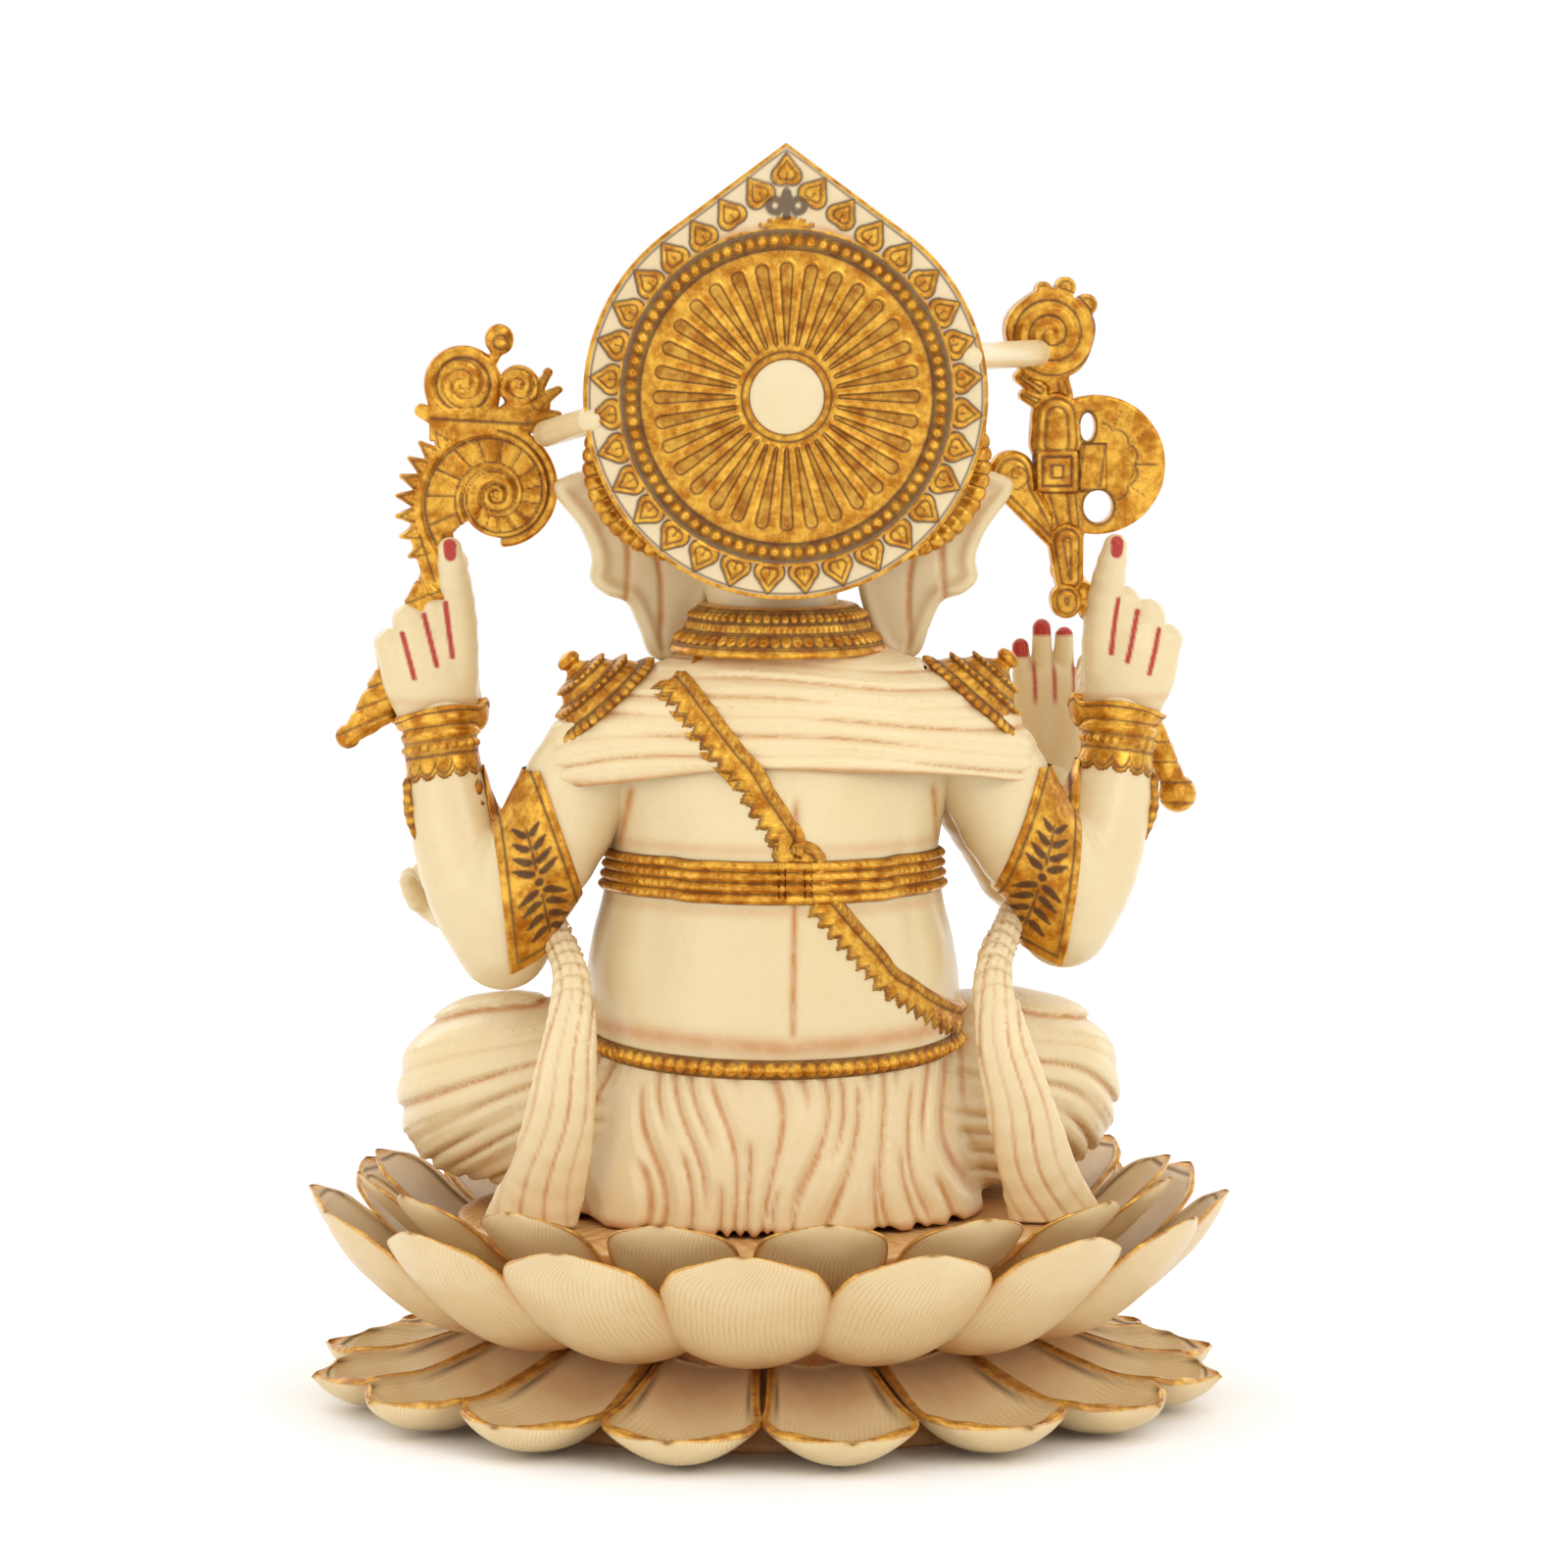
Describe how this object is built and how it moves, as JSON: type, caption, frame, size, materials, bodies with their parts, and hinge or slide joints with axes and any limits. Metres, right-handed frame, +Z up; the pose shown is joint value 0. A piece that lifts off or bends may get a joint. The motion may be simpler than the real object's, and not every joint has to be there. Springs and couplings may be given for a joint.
{
  "type": "seated ganesha idol",
  "caption": "Seated four-armed elephant-headed deity on a double lotus base with a pointed fluted halo, a devotional figure for a home shrine.",
  "frame": {"origin": "centre of the round resting face under the lotus base", "axes": "+Z up through the figure, -Y the way the figure faces, +X towards the figure's left hand"},
  "size_m": [0.222, 0.222, 0.3023],
  "materials": {
    "dhoti_resin": "satin, warm cream cast-marble resin with tan folds",
    "eye_paint": "glossy, painted cast-marble resin",
    "felt": "matte felt pad",
    "gold_paint": "cast-marble resin under satin old-gold paint with dark brown lines",
    "ivory_resin": "satin, cream cast-marble resin",
    "petal_resin": "satin, cream cast-marble resin with a tan wash and gold rims",
    "shawl_resin": "satin, warm cream cast-marble resin with tan folds",
    "skin_resin": "satin, cream cast-marble resin with a tan wash in the creases",
    "steel_dowel": "plain drawn steel, hidden",
    "sweet_paint": "satin, painted cast-marble resin"
  },
  "bodies": {
    "root": {"axe": "gold_paint", "belt": "gold_paint", "chest_necklace": "gold_paint", "crown": "gold_paint", "dhoti_hips": "dhoti_resin", "ear_bands": "gold_paint", "eyes": "eye_paint", "felt_pad": "felt", "front_left_arm": "skin_resin", "front_left_bracelet": "gold_paint", "front_left_hand": "skin_resin", "front_right_arm": "skin_resin", "front_right_bracelet": "gold_paint", "front_right_hand": "skin_resin", "halo_bead_ring": "gold_paint", "halo_boss": "ivory_resin", "halo_boss_ring": "gold_paint", "halo_dowels": "steel_dowel", "halo_finial_relief": "gold_paint", "halo_fluted_disc": "gold_paint", "halo_leaf_pads": "gold_paint", "halo_plate": "gold_paint", "head": "skin_resin", "left_ear": "skin_resin", "left_foot": "skin_resin", "left_halo_strut": "skin_resin", "left_leg": "dhoti_resin", "left_shawl_tail": "shawl_resin", "left_shoulder_cone": "gold_paint", "lotus_core": "petal_resin", "lower_petals": "petal_resin", "neck": "skin_resin", "necklace_collar": "gold_paint", "noose": "gold_paint", "rear_left_arm": "skin_resin", "rear_left_armband": "gold_paint", "rear_left_bracelet": "gold_paint", "rear_left_hand": "skin_resin", "rear_right_arm": "skin_resin", "rear_right_armband": "gold_paint", "rear_right_bracelet": "gold_paint", "rear_right_hand": "skin_resin", "right_ear": "skin_resin", "right_foot": "skin_resin", "right_halo_strut": "skin_resin", "right_leg": "dhoti_resin", "right_shawl_tail": "shawl_resin", "right_shoulder_cone": "gold_paint", "sacred_sash": "gold_paint", "seat_dowels": "steel_dowel", "seed_pod_seat": "petal_resin", "shawl": "shawl_resin", "sweets": "sweet_paint", "sweets_bowl": "gold_paint", "torso": "skin_resin", "trunk": "skin_resin", "tusks": "ivory_resin", "upper_petals_inner": "petal_resin", "upper_petals_outer": "petal_resin", "waist_chain": "gold_paint"}
  },
  "joints": []
}
